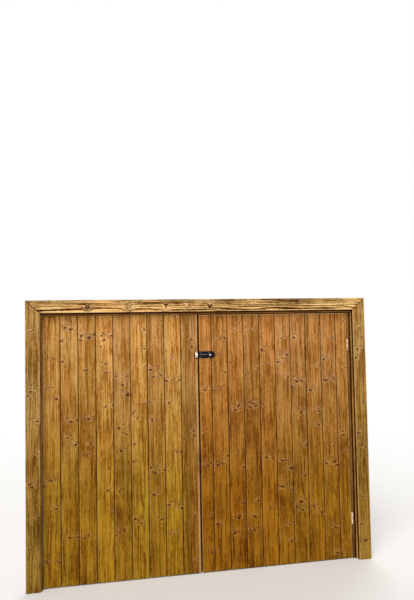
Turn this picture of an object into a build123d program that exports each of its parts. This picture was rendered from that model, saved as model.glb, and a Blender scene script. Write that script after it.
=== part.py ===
from build123d import *
from math import atan2, degrees, hypot
import os

os.makedirs("parts", exist_ok=True)

# A boarded barn door in its own frame: a fixed boarded panel on the left, a side-hung boarded leaf on the
# right, and a mitred casing around both. Sizes are in millimetres. X runs across the door, Y runs into the
# wall and Z is up. Places are laid out from the inner face of the left lining and from the front of the
# boards, and the whole door is then centred on X = 0 and on its own depth.

# Heights
overall_height = 1962.0
floor_gap = 8.0

# Tongue and groove boards
board_cover = 121.0
board_thickness = 19.0
tongue_length = 7.0
tongue_thickness = 6.0
tongue_play = 0.3
vee_depth = 3.5
cut_edge_arris = 2.0

# Casing: the mitred planks that cover the joint with the wall
casing_width = 97.0
casing_head_width = 88.0
casing_thickness = 28.0
casing_arris = 2.0
casing_reveal = 10.0
head_reveal = 17.0

# Lining: the planks on edge that line the opening
lining_thickness = 28.0
lining_depth = 120.0
lining_proud = 17.0
lining_arris = 1.5

# Fixed panel, from the left: whole boards, a ripped board, a narrow strip and the facing of the post
panel_whole_boards = 8
panel_side_gap = 3.0
panel_top_gap = 3.0
ripped_board_width = 33.0
edge_strip_width = 26.0
facing_width = 64.0
rail_width = 95.0
rail_thickness = 45.0
rail_floor_gap = 25.0

# Centre post
post_width = 60.0
post_depth = 75.0

# Leaf, from the left: a ripped board, whole boards and a ripped board, on a frame of planks with braces
leaf_first_board = 93.0
leaf_whole_boards = 8
leaf_last_board = 92.0
leaf_lock_gap = 11.0
leaf_top_gap = 8.0
plank_width = 95.0
plank_thickness = 28.0
plank_arris = 2.0
brace_width = 80.0

# Hanging strip beside the leaf, and the stops behind it
hinge_gap = 4.0
strip_thickness = 21.0
strip_depth = 66.0
stop_lap = 15.0
stop_depth = 28.0
stop_clearance = 1.0
stop_arris = 1.5

# Butt hinges
hinge_height = 80.0
hinge_top_drop = 243.0
hinge_bottom_rise = 292.0
knuckle_radius = 6.0
knuckle_standoff = 0.5
knuckle_play = 0.3
knuckle_count = 5
pin_radius = 3.0
pin_play = 0.08
pin_head_radius = 5.0
pin_head_height = 2.5
flap_thickness = 1.8
flap_depth = 32.0
flap_corner = 4.0
hinge_screw_count = 3
hinge_screw_end = 12.0
hinge_screw_depth = 25.0
hinge_screw_radius = 2.1
hinge_screw_head = 3.8
hinge_screw_length = 16.0

# Barrel bolt on the leaf, stored drawn back, and its keep on the facing
bolt_drop = 404.0
bolt_throw = 28.0
plate_length = 117.0
plate_height = 50.0
plate_thickness = 3.0
plate_corner = 5.0
plate_setback = 2.0
plate_screw_end = 9.0
plate_screw_pitch = 62.0
plate_screw_rise = 18.0
barrel_length = 76.0
barrel_inset = 6.0
barrel_wall = 3.2
barrel_floor = 0.8
rod_radius = 5.0
rod_play = 0.25
rod_nose = 1.5
rod_setback = 1.0
rod_tail = 6.0
knob_neck_radius = 2.8
knob_neck_rise = 6.0
knob_radius = 6.5
knob_length = 9.0
knob_round = 2.5
knob_slot_play = 0.7
keep_width = 17.0
keep_inset = 1.5
keep_play = 1.8
keep_wall = 3.0
keep_foot = 10.0
fitting_screw_radius = 2.0
fitting_screw_head = 3.8
fitting_screw_length = 16.0

# Screws and nails in the wood
screw_play = 0.05
wood_screw_radius = 2.2
wood_screw_head = 4.2
wood_screw_bite = 12.0
nail_radius = 1.4
nail_head = 2.6
nail_bite = 30.0
nail_end = 90.0
side_nails = 5
head_nails = 6
facing_nails = 4

# Fixing holes through the side linings into the wall
fixing_radius = 5.0
fixing_pitch = 1350.0
fixing_height = 240.0
fixing_edge = 19.0

# Places across the door
ripped_left = panel_side_gap + panel_whole_boards * board_cover
edge_strip_left = ripped_left + ripped_board_width
facing_left = edge_strip_left + edge_strip_width
post_right = facing_left + facing_width
post_left = post_right - post_width
leaf_left = post_right + leaf_lock_gap
leaf_right = leaf_left + leaf_first_board + leaf_whole_boards * board_cover + leaf_last_board
strip_left = leaf_right + hinge_gap
clear_width = strip_left + strip_thickness
casing_inner_left = -casing_reveal
casing_inner_right = clear_width + casing_reveal
casing_outer_left = casing_inner_left - casing_width
casing_outer_right = casing_inner_right + casing_width
pin_x = leaf_right + hinge_gap / 2
plate_left = leaf_left + plate_setback
barrel_left = plate_left + barrel_inset
barrel_right = barrel_left + barrel_length
keep_right = post_right - keep_inset
keep_left = keep_right - keep_width

# Places up the door
casing_inner_top = overall_height - casing_head_width
clear_height = casing_inner_top - head_reveal
panel_top = clear_height - panel_top_gap
leaf_top = clear_height - leaf_top_gap
bolt_z = overall_height - bolt_drop
hinge_heights = {"top": leaf_top - hinge_top_drop, "bottom": floor_gap + hinge_bottom_rise}

# Places into the wall
lining_front = -lining_proud
lining_back = lining_front + lining_depth
casing_front = lining_front - casing_thickness
leaf_back = board_thickness + plank_thickness
stop_front = leaf_back + stop_clearance
pin_y = -(knuckle_radius + knuckle_standoff)
rod_y = -(plate_thickness + barrel_floor + rod_play + rod_radius)

centre_x = (casing_outer_left + casing_outer_right) / 2
centre_y = (casing_front + lining_back) / 2

LEFT, RIGHT, FRONT, BACK = (-1, 0, 0), (1, 0, 0), (0, -1, 0), (0, 1, 0)


def place(x, y, z, direction):
    """A workplane at a laid-out place, with its normal along the direction."""
    return Plane(origin=(x - centre_x, y - centre_y, z), z_dir=direction)


def front_plane(y):
    """The XZ plane at a depth. A positive extrusion comes forward, a negative one goes into the wall."""
    return Plane.XZ.offset(centre_y - y)


def plan_points(points):
    """Corners of a plan outline, centred."""
    return [(x - centre_x, y - centre_y) for x, y in points]


def front_points(points):
    """Corners of a front outline, centred."""
    return [(x - centre_x, z) for x, z in points]


def spread(first, last, count):
    """Evenly spaced places, with the first and the last at the ends."""
    return [first + (last - first) * i / (count - 1) for i in range(count)]


def moved(places, distance):
    """The same workplanes, moved along their own normals."""
    return [p.offset(distance) for p in places]


def finish(part, name):
    """Name a finished piece and write it."""
    part.label = name
    export_step(part, f"parts/{name}.step")


def bore(places, radius, depth):
    """Plain holes into the part being built, going in against each workplane's normal."""
    with Locations(*places):
        Hole(radius + screw_play, depth=depth)


def sink(places, radius, head, depth):
    """Countersunk holes into the part being built, for heads that finish flush."""
    with Locations(*places):
        CounterSinkHole(radius + screw_play, head + screw_play, depth=depth, counter_sink_angle=90)


def fasteners(name, places, radius, head, length):
    """A group of like countersunk screws or nails, each a solid of its own, with their heads at the places."""
    with BuildPart() as one:
        with BuildSketch(Plane.XZ):
            with BuildLine():
                Polyline((0, 0), (head, 0), (radius, radius - head), (radius, 2 * radius - length),
                         (0, -length), close=True)
            make_face()
        revolve(axis=Axis.Z)
    with BuildPart() as group:
        with Locations(*places):
            add(one.part)
    finish(group.part, name)


def block(x, y, z):
    """A square-cut block in the part being built, from its laid-out (low, high) across, into and up."""
    middle = [(low + high) / 2 for low, high in (x, y, z)]
    with Locations((middle[0] - centre_x, middle[1] - centre_y, middle[2])):
        Box(*[high - low for low, high in (x, y, z)])


# Casing nails: one line of them, halfway across the lap of the casing on the edge of the lining. The casing
# laps less on the head lining than on the sides.
nail_line = (lining_thickness - casing_reveal) / 2
head_nail_line = (lining_thickness - head_reveal) / 2
left_nails = [place(casing_inner_left - nail_line, casing_front, z, FRONT)
              for z in spread(nail_end, casing_inner_top - nail_end, side_nails)]
right_nails = [place(casing_inner_right + nail_line, casing_front, z, FRONT)
               for z in spread(nail_end, casing_inner_top - nail_end, side_nails)]
top_nails = [place(x, casing_front, casing_inner_top + head_nail_line, FRONT)
             for x in spread(casing_inner_left + nail_end, casing_inner_right - nail_end, head_nails)]
casing_nail_length = casing_thickness + nail_bite


def casing(name, outline, nails):
    """A mitred plank of the casing, its front edges eased, with its nail holes."""
    with BuildPart() as plank:
        with BuildSketch(front_plane(casing_front)):
            with BuildLine():
                Polyline(*front_points(outline), close=True)
            make_face()
        extrude(amount=-casing_thickness)
        chamfer(plank.faces().sort_by(Axis.Y)[0].edges(), casing_arris)
        sink(nails, nail_radius, nail_head, casing_thickness)
    finish(plank.part, name)


casing("casing_left",
       [(casing_outer_left, 0), (casing_inner_left, 0), (casing_inner_left, casing_inner_top),
        (casing_outer_left, overall_height)], left_nails)
casing("casing_right",
       [(casing_inner_right, 0), (casing_outer_right, 0), (casing_outer_right, overall_height),
        (casing_inner_right, casing_inner_top)], right_nails)
casing("casing_head",
       [(casing_inner_left, casing_inner_top), (casing_inner_right, casing_inner_top),
        (casing_outer_right, overall_height), (casing_outer_left, overall_height)], top_nails)

# Lining: two sides on the floor with the head laid across them. Each side has its fixing holes.
fixing_y = lining_back - fixing_edge
fixing_heights = [fixing_height, fixing_height + fixing_pitch]


def lining_side(name, inner_x, outward, nails):
    """A side lining from its inner face outwards, with its inner front edge eased."""
    fixings = [place(inner_x, fixing_y, z, (-outward, 0, 0)) for z in fixing_heights]
    with BuildPart() as side:
        block(sorted((inner_x, inner_x + outward * lining_thickness)), (lining_front, lining_back),
              (0, clear_height))
        inner_face = side.faces().sort_by(Axis.X)[-1 if outward < 0 else 0]
        chamfer(inner_face.edges().sort_by(Axis.Y)[0], lining_arris)
        bore(moved(nails, -casing_thickness), nail_radius, nail_bite)
        with Locations(*fixings):
            Hole(fixing_radius, depth=lining_thickness)
    finish(side.part, name)


lining_side("lining_left", 0, -1, left_nails)
lining_side("lining_right", clear_width, 1, right_nails)

with BuildPart() as lining_head:
    block((-lining_thickness, clear_width + lining_thickness), (lining_front, lining_back),
          (clear_height, clear_height + lining_thickness))
    chamfer(lining_head.faces().sort_by(Axis.Z)[0].edges().sort_by(Axis.Y)[0], lining_arris)
    bore(moved(top_nails, -casing_thickness), nail_radius, nail_bite)
finish(lining_head.part, "lining_head")

fasteners("casing_nails", left_nails + right_nails + top_nails, nail_radius, nail_head, casing_nail_length)


# Boards: each has a vee along both edges of its face, a groove on its left and a tongue on its right
tongue_front = (board_thickness - tongue_thickness) / 2
tongue_back = tongue_front + tongue_thickness
groove_front = tongue_front - tongue_play
groove_back = tongue_back + tongue_play
groove_depth = tongue_length + tongue_play


def left_edge(x, kind):
    """Corners of a board's left edge, from its back to its face."""
    if kind == "groove":
        return [(x, board_thickness), (x, groove_back), (x + groove_depth, groove_back),
                (x + groove_depth, groove_front), (x, groove_front), (x, vee_depth), (x + vee_depth, 0)]
    return [(x, board_thickness), (x, cut_edge_arris), (x + cut_edge_arris, 0)]


def right_edge(x, kind):
    """Corners of a board's right edge, from its face to its back."""
    if kind == "tongue":
        return [(x - vee_depth, 0), (x, vee_depth), (x, tongue_front), (x + tongue_length, tongue_front),
                (x + tongue_length, tongue_back), (x, tongue_back), (x, board_thickness)]
    return [(x - cut_edge_arris, 0), (x, cut_edge_arris), (x, board_thickness)]


def board(name, left, right, kinds, top, holes=(), bite=0.0, screw=wood_screw_radius):
    """An upright board from its plan, with the blind screw holes that its fastenings bite into."""
    with BuildPart() as piece:
        with BuildSketch(Plane.XY.offset(floor_gap)):
            with BuildLine():
                Polyline(*plan_points(left_edge(left, kinds[0]) + right_edge(right, kinds[1])), close=True)
            make_face()
        extrude(amount=top - floor_gap)
        if holes:
            bore(holes, screw, bite)
    finish(piece.part, name)


def row_of_boards(left, widths):
    """The left and right of each board in a row laid side by side."""
    edges = [left]
    for width in widths:
        edges.append(edges[-1] + width)
    return list(zip(edges, edges[1:]))


# Rails of the fixed panel, between the left lining and the post, screwed to the boards from behind
rail_heights = {
    "top": clear_height - rail_width / 2,
    "middle": (clear_height + rail_floor_gap) / 2,
    "bottom": rail_floor_gap + rail_width / 2,
}
rail_back = board_thickness + rail_thickness
panel_row = row_of_boards(panel_side_gap, [board_cover] * panel_whole_boards + [ripped_board_width])
panel_row.append((edge_strip_left, facing_left))


def screws_behind(left, right, heights, back):
    """Screw heads halfway across a board, behind each rail that crosses it."""
    return [place((left + right) / 2, back, z, BACK) for z in heights]


panel_screw_rows = [screws_behind(a, b, rail_heights.values(), rail_back) for a, b in panel_row]
for name, z in rail_heights.items():
    with BuildPart() as rail:
        block((0, post_left), (board_thickness, rail_back), (z - rail_width / 2, z + rail_width / 2))
        sink([place((a + b) / 2, rail_back, z, BACK) for a, b in panel_row],
             wood_screw_radius, wood_screw_head, rail_thickness)
    finish(rail.part, f"panel_{name}_rail")

for number, ((left, right), screws) in enumerate(zip(panel_row, panel_screw_rows), start=1):
    kinds = ("groove", "tongue")
    name = f"panel_board_{number}"
    if number > panel_whole_boards:
        kinds = ("groove", "cut")
        name = "panel_ripped_board"
    if left == edge_strip_left:
        kinds = ("cut", "cut")
        name = "panel_edge_strip"
    board(name, left, right, kinds, panel_top, moved(screws, -rail_thickness), wood_screw_bite)

fasteners("panel_screws", [s for row in panel_screw_rows for s in row],
          wood_screw_radius, wood_screw_head, rail_thickness + wood_screw_bite)

# Centre post, with the facing nailed on its front
facing_nail_places = [place((post_left + post_right) / 2, 0, z, FRONT)
                      for z in spread(floor_gap + nail_end, panel_top - nail_end, facing_nails)]
keep_screw_rise = rod_radius + keep_play + keep_wall + keep_foot / 2
keep_x = (keep_left + keep_right) / 2
keep_screw_places = [place(keep_x, -keep_wall, bolt_z + side * keep_screw_rise, FRONT) for side in (-1, 1)]

with BuildPart() as centre_post:
    block((post_left, post_right), (board_thickness, board_thickness + post_depth), (0, clear_height))
    bore(moved(facing_nail_places, -board_thickness), nail_radius, nail_bite)
finish(centre_post.part, "centre_post")

with BuildPart() as post_facing:
    with BuildSketch(Plane.XY.offset(floor_gap)):
        with BuildLine():
            Polyline(*plan_points(left_edge(facing_left, "cut") + right_edge(post_right, "cut")), close=True)
        make_face()
    extrude(amount=panel_top - floor_gap)
    sink(facing_nail_places, nail_radius, nail_head, board_thickness)
    bore(moved(keep_screw_places, -keep_wall), fitting_screw_radius, fitting_screw_length - keep_wall)
finish(post_facing.part, "post_facing")

fasteners("facing_nails", facing_nail_places, nail_radius, nail_head, board_thickness + nail_bite)

# Stops behind the leaf, and the hanging strip that carries the hinges
head_stop_bottom = leaf_top - stop_lap
stop_back = stop_front + stop_depth

with BuildPart() as head_stop:
    block((post_right, strip_left), (stop_front, stop_back), (head_stop_bottom, clear_height))
    chamfer(head_stop.faces().sort_by(Axis.Z)[0].edges().filter_by(Axis.X), stop_arris)
finish(head_stop.part, "head_stop")

with BuildPart() as post_stop:
    block((post_right, leaf_left + stop_lap), (stop_front, stop_back), (0, head_stop_bottom))
    chamfer(post_stop.faces().sort_by(Axis.X)[-1].edges().filter_by(Axis.Z), stop_arris)
finish(post_stop.part, "post_stop")


def hinge_screw_places(x, direction):
    """Screw heads on a flap of each hinge, in one line up the flap."""
    reach = hinge_height / 2 - hinge_screw_end
    return [place(x, hinge_screw_depth, z + rise, direction)
            for z in hinge_heights.values() for rise in spread(-reach, reach, hinge_screw_count)]


frame_flap_face = strip_left - flap_thickness
leaf_flap_face = leaf_right + flap_thickness
frame_screw_places = hinge_screw_places(frame_flap_face, LEFT)
leaf_screw_places = hinge_screw_places(leaf_flap_face, RIGHT)
hinge_bite = hinge_screw_length - flap_thickness

with BuildPart() as hanging_strip:
    block((strip_left, clear_width), (0, strip_depth), (0, clear_height))
    chamfer(hanging_strip.faces().sort_by(Axis.X)[0].edges().filter_by(Axis.Z), lining_arris)
    bore(moved(frame_screw_places, -flap_thickness), hinge_screw_radius, hinge_bite)
finish(hanging_strip.part, "hanging_strip")

fasteners("hinge_frame_screws", frame_screw_places, hinge_screw_radius, hinge_screw_head, hinge_screw_length)
fasteners("hinge_leaf_screws", leaf_screw_places, hinge_screw_radius, hinge_screw_head, hinge_screw_length)

# Leaf frame: two stiles, three rails between them and a brace in each bay, rising away from the hinges
leaf_height = leaf_top - floor_gap
rail_left = leaf_left + plank_width
rail_right = leaf_right - plank_width
leaf_rail_heights = {
    "top": leaf_top - plank_width / 2,
    "middle": (leaf_top + floor_gap) / 2,
    "bottom": floor_gap + plank_width / 2,
}
bay_width = rail_right - rail_left
bay_height = leaf_rail_heights["middle"] - leaf_rail_heights["bottom"] - plank_width
bay_middle = (rail_left + rail_right) / 2
bay_heights = {
    "upper": leaf_rail_heights["middle"] + (plank_width + bay_height) / 2,
    "lower": leaf_rail_heights["bottom"] + (plank_width + bay_height) / 2,
}


def brace_height(bay_z, x):
    """Height of the centre line of a bay's brace, at a place across the leaf."""
    return bay_z + (bay_middle - x) * bay_height / bay_width


leaf_row = row_of_boards(leaf_left, [leaf_first_board] + [board_cover] * leaf_whole_boards + [leaf_last_board])
leaf_screw_rows = []
for left, right in leaf_row:
    heights = list(leaf_rail_heights.values())
    if rail_left < (left + right) / 2 < rail_right:
        heights += [brace_height(bay_z, (left + right) / 2) for bay_z in bay_heights.values()]
    leaf_screw_rows.append(screws_behind(left, right, heights, leaf_back))


def leaf_screws_in(low_x, high_x):
    """The screws whose heads lie between two places across the leaf."""
    return [s for row in leaf_screw_rows for s in row if low_x < s.origin.X + centre_x < high_x]


def leaf_plank(name, low_x, high_x, low_z, high_z, screws, hinge_screws=()):
    """A plank of the leaf frame, flat on the back of the boards, with its back edges eased."""
    with BuildPart() as plank:
        block((low_x, high_x), (board_thickness, leaf_back), (low_z, high_z))
        chamfer(plank.faces().sort_by(Axis.Y)[-1].edges(), plank_arris)
        sink(screws, wood_screw_radius, wood_screw_head, plank_thickness)
        if hinge_screws:
            bore(hinge_screws, hinge_screw_radius, hinge_bite)
    finish(plank.part, name)


leaf_plank("leaf_lock_stile", leaf_left, rail_left, floor_gap, leaf_top, leaf_screws_in(leaf_left, rail_left))
leaf_plank("leaf_hinge_stile", rail_right, leaf_right, floor_gap, leaf_top,
           leaf_screws_in(rail_right, leaf_right), moved(leaf_screw_places, -flap_thickness))
for name, z in leaf_rail_heights.items():
    screws = [s for s in leaf_screws_in(rail_left, rail_right) if abs(s.origin.Z - z) < plank_width / 2]
    leaf_plank(f"leaf_{name}_rail", rail_left, rail_right, z - plank_width / 2, z + plank_width / 2, screws)

for name, bay_z in bay_heights.items():
    screws = [s for s in leaf_screws_in(rail_left, rail_right)
              if abs(s.origin.Z - brace_height(bay_z, s.origin.X + centre_x)) < wood_screw_radius]
    with BuildPart() as brace:
        with BuildSketch(front_plane(board_thickness)):
            with Locations((bay_middle - centre_x, bay_z)):
                Rectangle(bay_width, bay_height)
                Rectangle(hypot(bay_width, bay_height), brace_width,
                          rotation=-degrees(atan2(bay_height, bay_width)), mode=Mode.INTERSECT)
        extrude(amount=-plank_thickness)
        chamfer(brace.faces().sort_by(Axis.Y)[-1].edges(), plank_arris)
        sink(screws, wood_screw_radius, wood_screw_head, plank_thickness)
    finish(brace.part, f"leaf_{name}_brace")

# Leaf boards, with the holes of the screws behind them and of the bolt plate on the first ones
plate_screw_xs = [plate_left + plate_screw_end, plate_left + plate_screw_end + plate_screw_pitch]
plate_screw_places = [place(x, -plate_thickness, bolt_z + side * plate_screw_rise, FRONT)
                      for x in plate_screw_xs for side in (-1, 1)]
plate_screw_holes = moved(plate_screw_places, -plate_thickness)


def holes_on_board(places, left, right):
    """The holes whose centres lie on a board."""
    return [p for p in places if left < p.origin.X + centre_x < right]


for number, ((left, right), screws) in enumerate(zip(leaf_row, leaf_screw_rows), start=1):
    first, last = number == 1, number == len(leaf_row)
    kinds = ("cut" if first else "groove", "cut" if last else "tongue")
    plate_holes = holes_on_board(plate_screw_holes, left, right)
    with BuildPart() as leaf_board:
        with BuildSketch(Plane.XY.offset(floor_gap)):
            with BuildLine():
                Polyline(*plan_points(left_edge(left, kinds[0]) + right_edge(right, kinds[1])), close=True)
            make_face()
        extrude(amount=leaf_height)
        bore(moved(screws, -plank_thickness), wood_screw_radius, wood_screw_bite)
        if plate_holes:
            bore(plate_holes, fitting_screw_radius, fitting_screw_length - plate_thickness)
    finish(leaf_board.part, f"leaf_board_{number}")

fasteners("leaf_screws", [s for row in leaf_screw_rows for s in row],
          wood_screw_radius, wood_screw_head, plank_thickness + wood_screw_bite)

# Butt hinges: knuckles in turn on the frame's flap and on the leaf's flap, around one pin with two heads
knuckle_pitch = hinge_height / knuckle_count
pin_x_centred = pin_x - centre_x
pin_y_centred = pin_y - centre_y


def hinge_flap(name, z, wood_x, side, screws):
    """One flap, flat on the wood at wood_x, which lies on the given side of the pin, with its own knuckles."""
    turn = 0 if side > 0 else 1
    sheet_x = wood_x - side * flap_thickness / 2 - centre_x
    with BuildPart() as flap:
        with BuildSketch(Plane.YZ.offset(sheet_x - flap_thickness / 2)):
            with Locations((flap_depth / 2 - centre_y, z)):
                Rectangle(flap_depth, hinge_height)
        extrude(amount=flap_thickness)
        back_edges = flap.edges().filter_by(Axis.X).group_by(Axis.Y)[-1]
        fillet(back_edges, flap_corner)
        for number in range(turn, knuckle_count, 2):
            low = z - hinge_height / 2 + number * knuckle_pitch + knuckle_play / 2
            with BuildSketch(Plane.XY.offset(low)):
                with Locations((pin_x_centred, pin_y_centred)):
                    Circle(knuckle_radius)
                neck = knuckle_standoff + knuckle_radius - (pin_radius + knuckle_radius) / 2
                with Locations((sheet_x, -centre_y - neck / 2)):
                    Rectangle(flap_thickness, neck)
                with Locations((pin_x_centred, pin_y_centred)):
                    Circle(pin_radius + pin_play, mode=Mode.SUBTRACT)
            extrude(amount=knuckle_pitch - knuckle_play)
        sink(screws, hinge_screw_radius, hinge_screw_head, flap_thickness)
    finish(flap.part, name)


for where, z in hinge_heights.items():
    near = hinge_height / 2
    hinge_flap(f"hinge_{where}_frame_flap", z, strip_left, 1,
               [s for s in frame_screw_places if abs(s.origin.Z - z) < near])
    hinge_flap(f"hinge_{where}_leaf_flap", z, leaf_right, -1,
               [s for s in leaf_screw_places if abs(s.origin.Z - z) < near])
    with BuildPart() as pin:
        with Locations((pin_x_centred, pin_y_centred, z)):
            Cylinder(pin_radius, hinge_height)
        with Locations((pin_x_centred, pin_y_centred, z + (hinge_height + pin_head_height) / 2),
                       (pin_x_centred, pin_y_centred, z - (hinge_height + pin_head_height) / 2)):
            Cylinder(pin_head_radius, pin_head_height)
        ends = pin.edges().filter_by(GeomType.CIRCLE).group_by(Axis.Z)
        chamfer(ends[0] + ends[-1], pin_head_height / 3)
    finish(pin.part, f"hinge_{where}_pin")

# Bolt plate, square at the leaf's edge and round at its other end
with BuildPart() as bolt_plate:
    with BuildSketch(front_plane(0)):
        with Locations((plate_left + (plate_length - plate_height / 2) / 2 - centre_x, bolt_z)):
            Rectangle(plate_length - plate_height / 2, plate_height)
        fillet(vertices().group_by(Axis.X)[0], plate_corner)
        with Locations((plate_left + plate_length - plate_height / 2 - centre_x, bolt_z)):
            Circle(plate_height / 2)
    extrude(amount=plate_thickness)
    sink(plate_screw_places, fitting_screw_radius, fitting_screw_head, plate_thickness)
finish(bolt_plate.part, "bolt_plate")

# Barrel: a round-backed tunnel on the plate, with a slot in its front for the neck of the knob
barrel_bore = rod_radius + rod_play
barrel_radius = barrel_bore + barrel_wall
slot_width = 2 * (knob_neck_radius + knob_slot_play)
knob_x = barrel_right - slot_width
slot_left = knob_x - bolt_throw - slot_width / 2

with BuildPart() as bolt_barrel:
    with BuildSketch(Plane.YZ.offset(barrel_left - centre_x)):
        with Locations((rod_y - centre_y, bolt_z)):
            Circle(barrel_radius)
        with Locations(((rod_y - plate_thickness) / 2 - centre_y, bolt_z)):
            Rectangle(-plate_thickness - rod_y, 2 * barrel_radius)
        with Locations((barrel_radius / 2 - plate_thickness - centre_y, bolt_z)):
            Rectangle(barrel_radius, 3 * barrel_radius, mode=Mode.SUBTRACT)
        with Locations((rod_y - centre_y, bolt_z)):
            Circle(barrel_bore, mode=Mode.SUBTRACT)
    extrude(amount=barrel_length)
    with BuildSketch(front_plane(rod_y)):
        with Locations(((slot_left + slot_width / 2 + barrel_right) / 2 - centre_x, bolt_z)):
            Rectangle(barrel_right - slot_left - slot_width / 2, slot_width)
        with Locations((slot_left + slot_width / 2 - centre_x, bolt_z)):
            Circle(slot_width / 2)
    extrude(amount=2 * barrel_radius, mode=Mode.SUBTRACT)
finish(bolt_barrel.part, "bolt_barrel")

# Rod with its knob, drawn back behind the leaf's edge
rod_left = leaf_left + rod_setback
rod_right = barrel_right + rod_tail
neck_top = rod_y - barrel_radius - knob_neck_rise

with BuildPart() as bolt_rod:
    with BuildSketch(Plane.YZ.offset(rod_left - centre_x)):
        with Locations((rod_y - centre_y, bolt_z)):
            Circle(rod_radius)
    extrude(amount=rod_right - rod_left)
    chamfer(bolt_rod.edges().filter_by(GeomType.CIRCLE), rod_nose)
    with BuildSketch(front_plane(rod_y)):
        with Locations((knob_x - centre_x, bolt_z)):
            Circle(knob_neck_radius)
    extrude(amount=rod_y - neck_top)
    with BuildSketch(front_plane(neck_top)):
        with Locations((knob_x - centre_x, bolt_z)):
            Circle(knob_radius)
    extrude(amount=knob_length)
    knob_edges = bolt_rod.edges().filter_by(GeomType.CIRCLE).group_by(Axis.Y)[0]
    fillet(knob_edges, knob_round)
finish(bolt_rod.part, "bolt_rod")

fasteners("bolt_plate_screws", plate_screw_places, fitting_screw_radius, fitting_screw_head,
          fitting_screw_length)

# Keep: a strap bent over the place where the rod goes, with a foot above and below
keep_bore = rod_radius + keep_play
keep_crown = keep_bore + keep_wall
keep_half = keep_crown + keep_foot

with BuildPart() as bolt_keep:
    with BuildSketch(Plane.YZ.offset(keep_left - centre_x)):
        with Locations((rod_y - centre_y, bolt_z)):
            Circle(keep_crown)
        with Locations((rod_y / 2 - centre_y, bolt_z)):
            Rectangle(-rod_y, 2 * keep_crown)
        with Locations((-keep_wall / 2 - centre_y, bolt_z)):
            Rectangle(keep_wall, 2 * keep_half)
        with Locations((keep_crown / 2 - centre_y, bolt_z)):
            Rectangle(keep_crown, 3 * keep_half, mode=Mode.SUBTRACT)
        with Locations((rod_y - centre_y, bolt_z)):
            Circle(keep_bore, mode=Mode.SUBTRACT)
        with Locations((rod_y / 2 - centre_y, bolt_z)):
            Rectangle(-rod_y, 2 * keep_bore, mode=Mode.SUBTRACT)
    extrude(amount=keep_width)
    sink(keep_screw_places, fitting_screw_radius, fitting_screw_head, keep_wall)
finish(bolt_keep.part, "bolt_keep")

fasteners("keep_screws", keep_screw_places, fitting_screw_radius, fitting_screw_head, fitting_screw_length)
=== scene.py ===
"""A boarded barn door of stained pine in its mitred casing: a fixed boarded panel on the left, and a leaf on
the right that hangs on two butt hinges and is held by a black barrel bolt. All lengths are in metres."""
import math

import bpy
import numpy as np
from mathutils import Matrix, Vector


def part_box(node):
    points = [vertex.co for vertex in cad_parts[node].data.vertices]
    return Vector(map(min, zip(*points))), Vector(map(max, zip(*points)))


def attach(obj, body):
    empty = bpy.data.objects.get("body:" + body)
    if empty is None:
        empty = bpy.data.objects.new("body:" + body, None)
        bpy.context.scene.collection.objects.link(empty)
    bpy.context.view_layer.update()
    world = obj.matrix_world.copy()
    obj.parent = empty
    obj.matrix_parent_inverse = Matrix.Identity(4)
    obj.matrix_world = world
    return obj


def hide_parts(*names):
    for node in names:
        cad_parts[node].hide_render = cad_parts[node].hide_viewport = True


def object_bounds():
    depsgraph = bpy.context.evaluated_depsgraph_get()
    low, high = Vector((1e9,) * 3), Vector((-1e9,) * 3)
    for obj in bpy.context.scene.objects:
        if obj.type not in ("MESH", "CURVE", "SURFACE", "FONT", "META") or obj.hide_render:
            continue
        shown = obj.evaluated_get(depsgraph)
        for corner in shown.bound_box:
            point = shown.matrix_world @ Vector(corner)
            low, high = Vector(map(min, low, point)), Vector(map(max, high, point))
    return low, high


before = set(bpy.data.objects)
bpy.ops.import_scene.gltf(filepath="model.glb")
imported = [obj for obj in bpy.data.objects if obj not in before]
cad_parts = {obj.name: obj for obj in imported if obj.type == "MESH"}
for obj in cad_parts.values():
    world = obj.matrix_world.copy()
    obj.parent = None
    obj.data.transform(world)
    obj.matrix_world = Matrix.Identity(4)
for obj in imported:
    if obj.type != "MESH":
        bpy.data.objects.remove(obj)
cad_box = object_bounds()

# Stage
# A pale floor that fades into a white surround, so that no horizon shows behind the door, soft light from a
# wide sky, and a camera that stands left of the door's middle, at eye height, turned a little to the right.


class Output:
    """An output of a shader node. Sums, products and quotients of outputs become Math nodes, so that a
    formula for the surface is written as one."""

    def __init__(self, socket):
        self.socket = socket

    def __add__(self, other):
        return calc("ADD", self, other)

    def __sub__(self, other):
        return calc("SUBTRACT", self, other)

    def __mul__(self, other):
        return calc("MULTIPLY", self, other)

    def __truediv__(self, other):
        return calc("DIVIDE", self, other)

    def __abs__(self):
        return calc("ABSOLUTE", self)


def make(tree, kind, inputs=(), **settings):
    """Adds a shader node with its settings, and with its inputs given by name or number as outputs of other
    nodes or as plain values. Returns the node's own outputs, by name and by number."""
    node = tree.nodes.new("ShaderNode" + kind)
    for name, value in settings.items():
        setattr(node, name, value)
    for name, value in dict(inputs).items():
        if isinstance(value, Output):
            tree.links.new(value.socket, node.inputs[name])
        else:
            node.inputs[name].default_value = value
    return {key: Output(socket) for number, socket in enumerate(node.outputs)
            for key in (number, socket.name)}


def tree_of(*values):
    """The node tree that the outputs among the values belong to."""
    return next(value.socket.id_data for value in values if isinstance(value, Output))


def calc(operation, *values):
    """The result of a Math node on outputs and plain numbers."""
    return make(tree_of(*values), "Math", enumerate(values), operation=operation)[0]


def ramp(value, low, high, start=0.0, end=1.0):
    """A smooth step from start to end, as the value goes from low to high."""
    inputs = {"Value": value, "From Min": low, "From Max": high, "To Min": start, "To Max": end}
    return make(tree_of(value), "MapRange", inputs, interpolation_type="SMOOTHSTEP")[0]


def new_tree(owner):
    """The empty node tree of a new material or world."""
    owner.use_nodes = True
    owner.node_tree.nodes.clear()
    return owner.node_tree


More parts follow.
